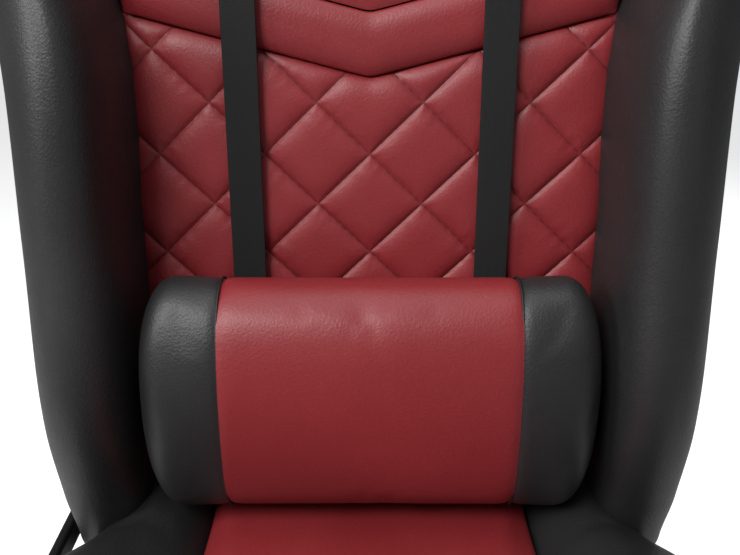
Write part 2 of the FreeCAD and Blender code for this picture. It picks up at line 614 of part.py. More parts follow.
def shape_of_back(inset):
    # half outline of the upper back as (x, u) from the shoulder up, drawn in by inset
    return [("shoulder_half - %s" % inset, "shoulder_height"),
            ("shoulder_half - 25 - %s" % inset, "wing_top - 30"),
            ("neck_half - %s" % inset, "neck_height"), ("head_half - %s" % inset, "neck_height + 90"),
            ("head_half - 4 - %s" % inset, "back_height - 40"),
            ("head_half - 30 - %s" % inset, "back_height - %s" % inset)]


def both_sides(right):
    # right is a run of (x, u) points going up; the left side comes back down
    left = [("-(%s)" % x, u) for x, u in reversed(right)]
    return right + left


def back_pads():
    half = "(panel_half - soft_gap)"
    centre = [("0", "seam_height - seam_drop"), (f"-{half}", "seam_height"), (f"-{half}", "-20"),
              (half, "-20"), (half, "seam_height")]
    block = extruded("back_block", outline("back_front", "XZ", centre), "panel_foam", backwards=True)
    keep("back_center_pad", on_back(group("back_pad", block)))
    right = [("panel_half - soft_gap", "seam_height + soft_gap"),
             ("panel_half + 20 - soft_gap", "shoulder_height"), ("panel_half + 5 - soft_gap", "wing_top"),
             ("neck_half", "neck_height"), ("head_half", "neck_height + 90"),
             ("head_half - 4", "back_height - 40"), ("head_half - 30", "back_height")]
    upper = both_sides(right) + [("0", "seam_height - seam_drop + soft_gap")]
    slab = extruded("head_slab", outline("head_front", "XZ", upper), "panel_foam", backwards=True)
    soft = rounded("head_soft", slab, "12", over_neck)
    keep("back_head_pad", on_back(cut("head_pad", soft, *slot_rooms("head"))))


def over_neck(edge):
    # front edges of the head pad above the wings
    low = min(vertex.Z for vertex in edge.Vertexes)
    return low > value("neck_height") - 1 and max(vertex.Y for vertex in edge.Vertexes) < 1


def slot_rooms(label):
    rooms = []
    for side in (-1, 1):
        rooms.append(box("%s_slot" % label, (
            "slot_width + 2 * bezel_wall + soft_gap", "4 * panel_foam",
            "slot_height + 2 * bezel_wall + soft_gap"),
            (f"{side} * slot_offset - slot_width / 2 - bezel_wall - soft_gap / 2", "-panel_foam",
             "slot_low - bezel_wall - soft_gap / 2")))
    return rooms


def back_bolster():
    # cross-sections (x, y) from the bottom of the side bolster to the top of its shoulder wing
    wall = "(panel_half + soft_gap / 3)"
    low = [(f"{wall} + 4", "2"), (f"{wall} + 4", "-8"), ("panel_half + 25", "-45"),
           ("panel_half + 31", "-45"), ("panel_half + 31", "-20"), ("panel_half + 31", "2")]
    seat = [(f"{wall} + 3", "46"), (f"{wall} + 3", "-8"), ("panel_half + 25", "-47"),
            ("panel_half + 35", "-47"), ("panel_half + 49", "-10"), ("panel_half + 49", "46")]
    waist = [(wall, "48"), (wall, "0"), (f"{wall} + 6", "-bolster_depth + 4"),
             (f"{wall} + 30", "-bolster_depth"), ("panel_half + 57", "-25"), ("panel_half + 55", "48")]
    chest = [(wall, "48"), (wall, "0"), (f"{wall} + 6", "-bolster_depth + 4"),
             (f"{wall} + 32", "-bolster_depth"), ("panel_half + 80", "-30"), ("panel_half + 78", "48")]
    wing = [(f"{wall} + 20", "48"), (f"{wall} + 20", "0"), (f"{wall} + 28", "-bolster_depth + 24"),
            (f"{wall} + 44", "-bolster_depth + 20"), ("shoulder_half", "-24"), ("shoulder_half - 3", "48")]
    top = [(f"{wall} + 5", "48"), (f"{wall} + 5", "2"), (f"{wall} + 10", "-14"),
           (f"{wall} + 24", "-16"), ("panel_half + 50", "0"), ("panel_half + 50", "48")]
    levels = ("-25", "30", "90", "seam_height - 10", "shoulder_height", "wing_top")
    sections = [outline("bolster_section", "XY", corners, ("0", "0", level))
                for corners, level in zip((low, seat, waist, chest, wing, top), levels)]
    bolster = lofted("bolster", *sections)
    placed = on_back(group("bolster_on_back", bolster))
    keep_pair("back_bolster", placed)


def back_shell():
    def tray(label, inset, start, length):
        right = [(f"panel_half + 53 - {inset}", "-10" if inset == "0" else "-12"),
                 (f"panel_half + 53 - {inset}", "90"), (f"panel_half + 76 - {inset}", "seam_height - 10")]
        right += shape_of_back(inset)
        face = outline(label + "_outline", "XZ", both_sides(right), ("0", start, "0"))
        return extruded(label, face, length, backwards=True)
    outer = tray("shell_outer", "0", "(panel_foam + 0.4)", "shell_depth - 0.4")
    inner = tray("shell_inner", "shell_wall", "(panel_foam - 5)", "shell_depth + 5 - shell_wall")
    keep("back_shell", on_back(cut("shell", outer, inner, *slot_rooms("shell"))))


def slot_bezels():
    bezels = []
    for side in (-1, 1):
        x = f"{side} * slot_offset"
        z = "(slot_low + slot_height / 2)"
        outer = ("slot_width + 2 * bezel_wall", f"{shell_back} + 6", "slot_height + 2 * bezel_wall")
        lip = ("slot_width + 2 * bezel_wall + 2 * bezel_lip", "3",
               "slot_height + 2 * bezel_wall + 2 * bezel_lip")
        pieces = [box("bezel_tube", outer, (f"{x} - slot_width / 2 - bezel_wall", "-3.3",
                                            "slot_low - bezel_wall"))]
        for y in ("-3.3", f"{shell_back} + 0.3"):
            pieces.append(box("bezel_flange", lip, (f"{x} - ({lip[0]}) / 2", y, f"{z} - ({lip[2]}) / 2")))
        gap = box("bezel_gap", ("slot_width", "3 * panel_foam", "slot_height"),
                  (f"{x} - slot_width / 2", "-panel_foam", "slot_low"))
        bezels.append(cut("bezel", fuse("bezel_solid", *pieces), gap))
    keep("slot_bezels", on_back(group("bezels", *bezels)))


def straps():
    # each strap is a loop round the back: down the front, under the pad and up the rear
    front = "-6"
    rear = f"({shell_back} + 5)"
    low = "-24"
    belts = []
    buckles = []
    for side in (-1, 1):
        x = f"{side} * strap_offset - strap_width / 2"
        depth = f"{rear} - ({front}) + strap_thick"
        runs = [
            box("strap_front", ("strap_width", "strap_thick", f"slot_low - ({low}) + strap_thick"), (x, front, low)),
            box("strap_rear", ("strap_width", "strap_thick", f"slot_low - ({low}) + strap_thick"), (x, rear, low)),
            box("strap_low", ("strap_width", depth, "strap_thick"), (x, front, low)),
            box("strap_slot", ("strap_width", depth, "strap_thick"), (x, front, "slot_low"))]
        belts.append(fuse("strap", *runs))
        buckle = centred_box("buckle", ("strap_width + 12", "5", "46"),
                             (f"{side} * strap_offset", f"{rear} + strap_thick + 2.5", "300"))
        buckles.append(rounded("buckle_edged", buckle, "5", along("Y")))
    keep("lumbar_straps", on_back(group("belts", *belts)))
    keep("strap_buckles", on_back(group("buckles", *buckles)))


def lumbar_pillow():
    # a fat roll that lies against the straps between the bolsters
    gap = "(6 + slide_gap)"
    body = box("pillow_block", ("2 * pillow_half", "pillow_depth", "pillow_height"),
               ("-pillow_half", f"-{gap} - pillow_depth", "pillow_low"))
    keep("lumbar_pillow", on_back(group("pillow", rounded("pillow_soft", body, "24", along("X")))))


# ---------------------------------------------------------------- armrests

def armrests():
    x = "arm_offset"
    y = "-arm_ahead"
    foot = f"({frame_low} - 6)"
    bar = box("arm_bar", ("arm_offset - plate_bolt_x - rail_width / 2 + 4", "sleeve_length", "6"),
              ("plate_bolt_x + rail_width / 2 - 4", f"{y} - sleeve_length / 2", foot))
    sleeve = centred_box("arm_sleeve", ("sleeve_width", "sleeve_length", f"sleeve_top - {foot}"), (x, y, foot))
    room = centred_box("arm_room", ("sleeve_width - 2 * sleeve_wall", "sleeve_length - 2 * sleeve_wall",
                                    "sleeve_top - sleeve_floor + 1"), (x, y, "sleeve_floor"))
    shell = rounded("arm_sleeve_edged", sleeve, "8", along("Z"))
    keep_pair("arm_bracket", cut("arm_bracket_shape", fuse("arm_bracket_solid", bar, shell), room))
    post = centred_box("arm_post_bar", (f"2 * {post_half_x}", "sleeve_length - 2 * sleeve_wall - 2 * slide_gap",
                                        "post_top - post_low"), (x, y, "post_low"))
    shelf = centred_box("arm_shelf", ("pad_width * 0.7", "pad_length * 0.5", "8"), (x, y, "post_top"))
    button_z = "(post_top - button_below)"
    hole = rod("button_hole", "button_radius + slide_gap", "button_length + 1",
               (f"{x} + {post_half_x} - button_length", y, button_z), "X")
    keep_pair("arm_post", cut("arm_post_shape", fuse("arm_post_solid", post, shelf), hole))
    keep_pair("arm_button", rod("arm_button_rod", "button_radius", "button_length",
                                (f"{x} + {post_half_x} - button_length + button_press + 0.2", y, button_z), "X"))
    pad = centred_box("arm_pad_block", ("pad_width", "pad_length", "pad_thick"),
                      (x, y, f"post_top + 8 + slide_gap"))
    corners = rounded("arm_pad_corners", pad, "22", along("Z"))
    keep_pair("arm_pad", rounded("arm_pad_soft", corners, "7", on_pad_top))


def on_pad_top(edge):
    return min(vertex.Z for vertex in edge.Vertexes) > value("post_top + pad_thick")


def write_parts():
    doc.recompute()
    for item in doc.Objects:
        if "Invalid" in item.State or "Error" in item.State:
            raise RuntimeError("failed: %s %s" % (item.Name, item.State))
    os.makedirs("parts", exist_ok=True)
    for label, item in nodes.items():
        item.Label = label
        shape = item.Shape
        if shape.isNull() or not shape.isValid() or not shape.Solids:
            raise RuntimeError("bad shape: " + label)
        shape.exportStep("parts/%s.step" % label)
    print(len(nodes), "pieces")


base_star()
caster()
gas_column()
shrouds()
tilt_housing()
tension_parts()
levers()
seat_plate()
seat_frame()
seat_cushions()
recliners()
back_frame()
back_pads()
back_bolster()
back_shell()
slot_bezels()
straps()
lumbar_pillow()
armrests()
write_parts()
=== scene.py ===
import json
import math
import bpy
import numpy as np
from mathutils import Matrix, Vector


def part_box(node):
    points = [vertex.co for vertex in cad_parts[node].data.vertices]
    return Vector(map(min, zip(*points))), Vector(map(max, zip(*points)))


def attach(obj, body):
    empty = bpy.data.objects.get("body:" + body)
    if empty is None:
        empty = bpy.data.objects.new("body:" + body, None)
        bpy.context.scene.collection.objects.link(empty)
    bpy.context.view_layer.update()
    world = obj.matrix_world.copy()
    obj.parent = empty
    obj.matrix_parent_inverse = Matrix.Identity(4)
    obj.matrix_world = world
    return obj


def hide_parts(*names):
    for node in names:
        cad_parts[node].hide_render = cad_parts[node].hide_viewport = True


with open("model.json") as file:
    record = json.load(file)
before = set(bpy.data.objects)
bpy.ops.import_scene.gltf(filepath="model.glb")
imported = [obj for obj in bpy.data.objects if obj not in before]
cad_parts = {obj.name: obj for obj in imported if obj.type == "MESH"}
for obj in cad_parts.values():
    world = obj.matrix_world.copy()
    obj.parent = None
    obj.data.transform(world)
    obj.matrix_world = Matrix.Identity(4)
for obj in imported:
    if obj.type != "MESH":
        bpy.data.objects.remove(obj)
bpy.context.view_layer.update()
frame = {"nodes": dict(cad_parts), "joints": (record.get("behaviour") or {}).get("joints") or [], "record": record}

joints = {joint["name"]: joint for joint in frame["joints"]}

# The backrest's own axes: x across, y to the rear, u up the back from the seat's surface
backUp = Vector(joints["lumbar_slide"]["axis"]).normalized()
backRear = Vector((0, backUp.z, -backUp.y))
hingePoint = Vector(joints["back_recline"]["pos_m"])
hingeBehind, hingeDrop = 0.035, 0.030
backOrigin = hingePoint - backRear * hingeBehind + backUp * hingeDrop
backOrigin.x = 0
backMatrix = Matrix.Translation(backOrigin) @ Matrix((
    (1, 0, 0, 0), (0, backRear.y, backUp.y, 0), (0, backRear.z, backUp.z, 0), (0, 0, 0, 1)))
worldMatrix = Matrix.Identity(4)


# ---- modelling helpers

def deselectAll():
    if bpy.context.object and bpy.context.object.mode != "OBJECT":
        bpy.ops.object.mode_set(mode="OBJECT")
    bpy.ops.object.select_all(action="DESELECT")


def makeActive(piece):
    deselectAll()
    piece.select_set(True)
    bpy.context.view_layer.objects.active = piece


def coordinates(piece):
    flat = np.empty(len(piece.data.vertices) * 3)
    piece.data.vertices.foreach_get("co", flat)
    return flat.reshape(-1, 3)


def moveVertices(piece, points):
    piece.data.vertices.foreach_set("co", np.asarray(points, float).ravel())
    piece.data.update()


def smooth(edge0, edge1, value):
    t = np.clip((value - edge0) / (edge1 - edge0), 0, 1)
    return t * t * (3 - 2 * t)


def gridSheet(name, across, upward, shape):
    # a grid whose points go where shape(s, t) puts them, s and t from 0 to 1
    deselectAll()
    bpy.ops.mesh.primitive_grid_add(x_subdivisions=across, y_subdivisions=upward, size=1)
    piece = bpy.context.object
    piece.name = name
    flat = coordinates(piece)
    moveVertices(piece, np.stack(shape(flat[:, 0] + 0.5, flat[:, 1] + 0.5), axis=1))
    return piece


def mapFlat(piece):
    # the sheet's UV map holds its own x and u in metres
    loops = np.empty(len(piece.data.loops), dtype=np.int32)
    piece.data.loops.foreach_get("vertex_index", loops)
    flat = coordinates(piece)[loops][:, [0, 2]]
    piece.data.uv_layers[0].data.foreach_set("uv", flat.ravel())


def recalculateNormals(piece):
    makeActive(piece)
    bpy.ops.object.mode_set(mode="EDIT")
    bpy.ops.mesh.select_all(action="SELECT")
    bpy.ops.mesh.normals_make_consistent(inside=False)
    bpy.ops.object.mode_set(mode="OBJECT")


def closeBehind(piece, offset, dense=False):
    # gives a sheet its thickness: the border goes back by offset, and the rear is flat
    makeActive(piece)
    bpy.ops.object.mode_set(mode="EDIT")
    if dense:
        bpy.ops.mesh.select_all(action="SELECT")
        bpy.ops.mesh.extrude_region_move(TRANSFORM_OT_translate={"value": (0, offset, 0)})
    else:
        bpy.ops.mesh.select_all(action="DESELECT")
        bpy.ops.mesh.select_mode(type="EDGE")
        bpy.ops.mesh.select_non_manifold()
        bpy.ops.mesh.extrude_region_move(TRANSFORM_OT_translate={"value": (0, offset, 0)})
        bpy.ops.transform.resize(value=(1, 0, 1), center_override=(0, offset, 0))
        bpy.ops.mesh.edge_face_add()
        bpy.ops.mesh.select_mode(type="VERT")
    bpy.ops.object.mode_set(mode="OBJECT")
    recalculateNormals(piece)


def settle(piece, matrix=worldMatrix, angle=None):
    # bakes a place into the mesh and shades it smooth
    piece.data.transform(matrix)
    piece.matrix_world = worldMatrix
    makeActive(piece)
    if angle:
        bpy.ops.object.shade_smooth_by_angle(angle=math.radians(angle))
    else:
        bpy.ops.object.shade_smooth()
    deselectAll()
    return piece


def splineWeights(count, samples):
    # closed quadratic B-spline weights, one row per sample
    rows = np.zeros((samples, count))
    for index in range(samples):
        place = index / samples * count
        first = int(place)
        f = place - first
        for step, weight in enumerate(((1 - f) ** 2 / 2, 0.5 + f - f * f, f * f / 2)):
            rows[index, (first + step) % count] += weight
    return rows


def loftedPad(name, levels, sections, around, rows, capLength, toPoint):
    # a closed pad through outlines given at levels; both ends are rounded over capLength
    count = len(sections[0])
    weights = splineWeights(count, around)
    controls = np.array(sections, float)

    def shape(s, t):
        column = np.rint(s * around).astype(int) % around
        row = np.rint(t * rows).astype(int)
        bend = (1 - np.cos(np.pi * np.arange(rows + 1) / rows)) / 2
        spacing = 0.5 * bend + 0.5 * np.arange(rows + 1) / rows
        level = levels[0] + (levels[-1] - levels[0]) * spacing
        outlines = np.empty((rows + 1, count, 2))
        for corner in range(count):
            for axis in range(2):
                outlines[:, corner, axis] = monotone(levels, controls[:, corner, axis], level)
        points = np.einsum("sc,rca->rsa", weights, outlines)
        nearEnd = np.minimum(level - levels[0], levels[-1] - level)
        shrink = np.sqrt(np.clip(1 - (1 - np.clip(nearEnd / capLength, 0, 1)) ** 2.4, 0.0004, 1))
        middle = points.mean(axis=1, keepdims=True)
        points = middle + (points - middle) * (0.25 + 0.75 * shrink)[:, None, None]
        chosen = points[row, column]
        return toPoint(chosen[:, 0], chosen[:, 1], level[row])

    piece = gridSheet(name, around, rows, shape)
    makeActive(piece)
    bpy.ops.object.mode_set(mode="EDIT")
    bpy.ops.mesh.select_all(action="SELECT")
    bpy.ops.mesh.remove_doubles(threshold=0.00001)
    bpy.ops.mesh.fill_holes(sides=0)
    bpy.ops.object.mode_set(mode="OBJECT")
    recalculateNormals(piece)
    return piece


def monotone(levels, values, wanted):
    # smooth curve through the values that doesn't overshoot
    levels = np.asarray(levels, float)
    values = np.asarray(values, float)
    slopes = np.gradient(values, levels)
    for index in range(len(values)):
        before = values[index] - values[index - 1] if index else 0
        after = values[index + 1] - values[index] if index + 1 < len(values) else 0
        if before * after <= 0:
            slopes[index] = 0
    index = np.clip(np.searchsorted(levels, wanted, side="right") - 1, 0, len(levels) - 2)
    width = levels[index + 1] - levels[index]
    t = (wanted - levels[index]) / width
    return (values[index] * (1 + 2 * t) * (1 - t) ** 2 + slopes[index] * width * t * (1 - t) ** 2
            + values[index + 1] * t * t * (3 - 2 * t) + slopes[index + 1] * width * t * t * (t - 1))


def pipingAlong(name, points, radius, closed=False):
    # a leather-covered cord sewn into a seam
    curve = bpy.data.curves.new(name, "CURVE")
    curve.dimensions = "3D"
    curve.bevel_depth = radius
    curve.bevel_resolution = 2
    curve.use_fill_caps = True
    spline = curve.splines.new("POLY")
    spline.points.add(len(points) - 1)
    for slot, point in zip(spline.points, points):
        slot.co = (*point, 1)
    spline.use_cyclic_u = closed
    piece = bpy.data.objects.new(name, curve)
    bpy.context.collection.objects.link(piece)
    makeActive(piece)
    bpy.ops.object.convert(target="MESH")
    piece = bpy.context.object
    piece.data.materials.clear()
    return piece


def plump(piece, pressure, cap, voxel):
    # inflates a pad with a short cloth simulation, moving no point further than cap
    makeActive(piece)
    piece.data.remesh_voxel_size = voxel
    bpy.ops.object.voxel_remesh()
    before = coordinates(piece)
    cloth = piece.modifiers.new("Cloth", "CLOTH")
    cloth.settings.use_pressure = True
    cloth.settings.uniform_pressure_force = pressure
    cloth.settings.effector_weights.gravity = 0
    for number in range(1, 21):
        bpy.context.scene.frame_set(number)
    depsgraph = bpy.context.evaluated_depsgraph_get()
    swollen = piece.evaluated_get(depsgraph).to_mesh()
    after = np.empty(len(swollen.vertices) * 3)
    swollen.vertices.foreach_get("co", after)
    move = after.reshape(-1, 3) - before
    length = np.linalg.norm(move, axis=1, keepdims=True)
    move *= np.minimum(1, cap / np.maximum(length, 1e-9))
    piece.evaluated_get(depsgraph).to_mesh_clear()
    piece.modifiers.remove(cloth)
    bpy.context.scene.frame_set(1)
    moveVertices(piece, before + move)
    relax = piece.modifiers.new("Relax", "SMOOTH")
    relax.iterations = 4
    bpy.ops.object.modifier_apply(modifier=relax.name)


# ---- materials

def newGroup(name, inputs, outputs):
    group = bpy.data.node_groups.new(name, "ShaderNodeTree")
    for label, value in inputs:
        socket = group.interface.new_socket(label, in_out="INPUT", socket_type="NodeSocketFloat")
        socket.default_value = value
    for label in outputs:
        group.interface.new_socket(label, in_out="OUTPUT", socket_type="NodeSocketFloat")
    start = group.nodes.new("NodeGroupInput")
    end = group.nodes.new("NodeGroupOutput")
    return group, start, end


def node(tree, kind, links=(), **settings):
    made = tree.nodes.new(kind)
    for key, value in settings.items():
        if hasattr(made, key):
            setattr(made, key, value)
        else:
            made.inputs[key.replace("_", " ")].default_value = value
    for target, source in links:
        tree.links.new(source, made.inputs[target])
    return made


def maths(tree, operation, first, second=None, third=None, clamp=False):
    made = tree.nodes.new("ShaderNodeMath")
    made.operation = operation
    made.use_clamp = clamp
    for index, value in enumerate((first, second, third)):
        if value is None:
            continue
        if isinstance(value, (int, float)):
            made.inputs[index].default_value = value
        else:
            tree.links.new(value, made.inputs[index])
    return made.outputs[0]


def buildGrain():
    # leather: fine pebbles, faint creases and slow drifts of shade
    group, start, end = newGroup("LeatherGrain", [("Pebble Scale", 700), ("Crease", 0.35)],
                                 ["Height", "Shade", "Wear"])
    place = node(group, "ShaderNodeTexCoord").outputs["Object"]
    pebbles = node(group, "ShaderNodeTexVoronoi", [("Vector", place), ("Scale", start.outputs[0])],
                   feature="SMOOTH_F1")
    fine = node(group, "ShaderNodeTexNoise", [("Vector", place)], Scale=1900, Detail=3.0)
    creases = node(group, "ShaderNodeTexNoise", [("Vector", place)], Scale=42, Detail=5.0, Distortion=1.4)
    slow = node(group, "ShaderNodeTexNoise", [("Vector", place)], Scale=9, Detail=4.0)
    pebbleHeight = maths(group, "MULTIPLY", pebbles.outputs["Distance"], 0.7)
    mixed = maths(group, "MULTIPLY_ADD", fine.outputs[0], 0.35, pebbleHeight)
    creaseHeight = maths(group, "MULTIPLY", creases.outputs[0], start.outputs[1])
    group.links.new(maths(group, "ADD", mixed, creaseHeight), end.inputs["Height"])
    pebbleShade = maths(group, "MULTIPLY", pebbles.outputs["Distance"], 0.3)
    shade = maths(group, "MULTIPLY_ADD", slow.outputs[0], 0.7, pebbleShade)
    group.links.new(shade, end.inputs["Shade"])
    group.links.new(maths(group, "MULTIPLY", creases.outputs[0], slow.outputs[0]), end.inputs["Wear"])
    return group


def buildMottle():
    # moulded plastic and painted steel: fine texture and slow shade
    group, start, end = newGroup("FineTexture", [("Scale", 900), ("Slow Scale", 14)], ["Height", "Shade"])
    place = node(group, "ShaderNodeTexCoord").outputs["Object"]
    fine = node(group, "ShaderNodeTexNoise", [("Vector", place), ("Scale", start.outputs[0])], Detail=2.0)
    slow = node(group, "ShaderNodeTexNoise", [("Vector", place), ("Scale", start.outputs[1])], Detail=4.0)
    group.links.new(fine.outputs[0], end.inputs["Height"])
    group.links.new(slow.outputs[0], end.inputs["Shade"])
    return group


def buildStitchesAndShade():
    # thread along both families of quilting lines, and painted shade that darkens the leather in the valleys
    # beside them, from the sheet's own map in metres
    group, start, end = newGroup("QuiltStitchesAndShade", [("Half", 0.0405), ("Pitch", 0.039), ("Node", 0.218)],
                                 ["Thread", "PaintedSeamShade"])
    place = node(group, "ShaderNodeUVMap", uv_map="UVMap").outputs[0]
    split = node(group, "ShaderNodeSeparateXYZ", [("Vector", place)])
    across = maths(group, "DIVIDE", split.outputs[0], start.outputs[0])
    raised = maths(group, "SUBTRACT", split.outputs[1], start.outputs[2])
    upward = maths(group, "DIVIDE", raised, start.outputs[1])
    first = maths(group, "ADD", across, upward)
    second = maths(group, "SUBTRACT", across, upward)
    threads = []
    for line, along in ((first, second), (second, first)):
        away = maths(group, "PINGPONG", line, 1.0)
        thin = maths(group, "SUBTRACT", 1.0, maths(group, "DIVIDE", away, 0.034), clamp=True)
        dash = maths(group, "PINGPONG", maths(group, "MULTIPLY", along, 7.0), 1.0)
        threads.append(maths(group, "MULTIPLY", thin, maths(group, "MULTIPLY_ADD", dash, 0.75, 0.25)))
    group.links.new(maths(group, "MAXIMUM", threads[0], threads[1]), end.inputs["Thread"])
    # painted shade: a band along each sewn line, darkest on the line and fading out a short way from it, where the
    # valleys would lie in shade
    awayFirst = maths(group, "PINGPONG", first, 1.0)
    awaySecond = maths(group, "PINGPONG", second, 1.0)
    closest = maths(group, "MINIMUM", awayFirst, awaySecond)
    paintedSeamShade = maths(group, "SUBTRACT", 1.0, maths(group, "DIVIDE", closest, 0.10), clamp=True)
    group.links.new(paintedSeamShade, end.inputs["PaintedSeamShade"])
    return group


grainGroup = buildGrain()
mottleGroup = buildMottle()
stitchAndShadeGroup = buildStitchesAndShade()


def linear(colour):
    return [((part / 255 + 0.055) / 1.055) ** 2.4 if part > 10 else part / 255 / 12.92 for part in colour]


def ramp(tree, factor, dark, light, source=None):
    # mixes two colours by the factor; source is a colour socket that takes the first one's place
    mixed = tree.nodes.new("ShaderNodeMix")
    mixed.data_type = "RGBA"
    tree.links.new(factor, mixed.inputs["Factor"])
    if source:
        tree.links.new(source, mixed.inputs["A"])
    else:
        mixed.inputs["A"].default_value = (*linear(dark), 1)
    mixed.inputs["B"].default_value = (*linear(light), 1)
    return mixed.outputs["Result"]


def groupNode(tree, group, **values):
    made = tree.nodes.new("ShaderNodeGroup")
    made.node_tree = group
    for key, value in values.items():
        made.inputs[key.replace("_", " ")].default_value = value
    return made


def newMaterial(name):
    material = bpy.data.materials.new(name)
    material.use_nodes = True
    tree = material.node_tree
    return material, tree, tree.nodes["Principled BSDF"]


def leather(name, dark, light, roughness, pebble, depth, quilted=False):
    material, tree, shader = newMaterial(name)
    grain = groupNode(tree, grainGroup, Pebble_Scale=pebble, Crease=0.4)
    colour = ramp(tree, grain.outputs["Shade"], dark, light)
    spread = maths(tree, "MULTIPLY_ADD", grain.outputs["Wear"], 0.25, roughness)
    tree.links.new(spread, shader.inputs["Roughness"])
    bump = node(tree, "ShaderNodeBump", [("Height", grain.outputs["Height"])], Strength=0.7, Distance=depth)
    if quilted:
        stitchesAndShade = groupNode(tree, stitchAndShadeGroup)
        # the colour is pulled towards a deep red-black, partly by the real dark thread along the stitches and
        # partly by painted shade in the valleys beside them
        shade = maths(tree, "MULTIPLY_ADD", stitchesAndShade.outputs["PaintedSeamShade"], 0.10,
                      maths(tree, "MULTIPLY", stitchesAndShade.outputs["Thread"], 0.45))
        colour = ramp(tree, shade, None, (38, 12, 14), colour)
        sunk = maths(tree, "SUBTRACT", 1.0, stitchesAndShade.outputs["Thread"])
        bump = node(tree, "ShaderNodeBump", [("Height", sunk), ("Normal", bump.outputs[0])], Strength=0.6,
                    Distance=0.0006)
    tree.links.new(colour, shader.inputs["Base Color"])
    tree.links.new(bump.outputs[0], shader.inputs["Normal"])
    return material


def mottled(name, dark, light, roughness, metallic=0.0, scale=900, depth=0.0002, spread=0.12):
    material, tree, shader = newMaterial(name)
    texture = groupNode(tree, mottleGroup, Scale=scale)
    tree.links.new(ramp(tree, texture.outputs["Shade"], dark, light), shader.inputs["Base Color"])
    rough = maths(tree, "MULTIPLY_ADD", texture.outputs["Shade"], spread, roughness)
    tree.links.new(rough, shader.inputs["Roughness"])
    bump = node(tree, "ShaderNodeBump", [("Height", texture.outputs["Height"])], Strength=0.4, Distance=depth)
    tree.links.new(bump.outputs[0], shader.inputs["Normal"])
    shader.inputs["Metallic"].default_value = metallic
    return material


def webbingMaterial():
    # woven herringbone along the strap, read from its own UV map in metres
    material, tree, shader = newMaterial("blackWebbing")
    place = node(tree, "ShaderNodeUVMap", uv_map="UVMap").outputs[0]
    split = node(tree, "ShaderNodeSeparateXYZ", [("Vector", place)])
    zig = maths(tree, "PINGPONG", split.outputs[0], 0.0032)
    lean = maths(tree, "MULTIPLY_ADD", zig, 1.0, split.outputs[1])
    rows = maths(tree, "SINE", maths(tree, "MULTIPLY", lean, 2 * math.pi / 0.0016))
    yarns = maths(tree, "SINE", maths(tree, "MULTIPLY", split.outputs[0], 2 * math.pi / 0.0008))
    weave = maths(tree, "MULTIPLY_ADD", yarns, 0.35, rows)
    height = maths(tree, "MULTIPLY_ADD", weave, 0.3, 0.5)
    tree.links.new(ramp(tree, height, (13, 13, 13), (34, 33, 33)), shader.inputs["Base Color"])
    bump = node(tree, "ShaderNodeBump", [("Height", height)], Strength=0.8, Distance=0.0003)
    tree.links.new(bump.outputs[0], shader.inputs["Normal"])
    shader.inputs["Roughness"].default_value = 0.78
    shader.inputs["Specular IOR Level"].default_value = 0.35
    return material


redLeather = leather("redLeather", (112, 28, 33), (152, 46, 50), 0.40, 620, 0.00030)
quiltedLeather = leather("quiltedLeather", (112, 28, 33), (152, 46, 50), 0.42, 620, 0.00030, quilted=True)
blackLeather = leather("blackLeather", (25, 25, 26), (47, 47, 48), 0.40, 620, 0.00036)
seamThread = leather("seamThread", (16, 15, 16), (28, 26, 27), 0.55, 1500, 0.0001)
blackWebbing = webbingMaterial()
blackSteel = mottled("blackSteel", (24, 24, 26), (34, 34, 36), 0.32, 0.0, 1400, 0.0001)
brightSteel = mottled("brightSteel", (150, 150, 154), (180, 180, 184), 0.28, 1.0, 2200, 0.00005)
chromeSteel = mottled("chromeSteel", (196, 196, 200), (214, 214, 218), 0.08, 1.0, 300, 0.00001, 0.04)
blackPlastic = mottled("blackPlastic", (22, 22, 23), (33, 33, 35), 0.46, 0.0, 1100, 0.0003)
wheelPlastic = mottled("wheelPlastic", (30, 30, 31), (42, 42, 44), 0.38, 0.0, 700, 0.0001)
armFoam = mottled("armFoam", (25, 25, 26), (36, 36, 37), 0.6, 0.0, 1600, 0.0004)
bronze = mottled("bronze", (128, 96, 50), (150, 116, 66), 0.4, 1.0, 1600, 0.0001)
slotMaterials = {"red_leather": redLeather, "black_leather": blackLeather, "webbing": blackWebbing,
                 "black_steel": blackSteel, "bright_steel": brightSteel, "chrome": chromeSteel,
                 "black_plastic": blackPlastic, "wheel_plastic": wheelPlastic, "arm_foam": armFoam,
                 "bronze": bronze}


def finish(piece, material, body, nodes=()):
    # one call for what every piece needs: its material, its body and what it stands for
    if not piece.data.materials:
        piece.data.materials.append(material)
    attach(piece, body)
    if nodes:
        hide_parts(*nodes)
    return piece


def dressFrameNodes():
    for part in frame["record"]["subparts"]:
        shown = frame["nodes"][part["node"]]
        for slot in shown.material_slots:
            slot.material = slotMaterials[part["material_slot"]]
    print("frame nodes dressed")


# ---- the quilted back

quilt = {"halfWidth": 0.1845, "low": -0.030, "seamAtMiddle": 0.353, "seamSlope": 0.257, "half": 0.0405,
         "pitch": 0.039, "node": 0.218, "puff": 0.0034, "groove": 0.0007, "crease": 0.00022,
         "columns": 286, "rows": 326, "edgeRoll": 0.007, "thickness": 0.046}


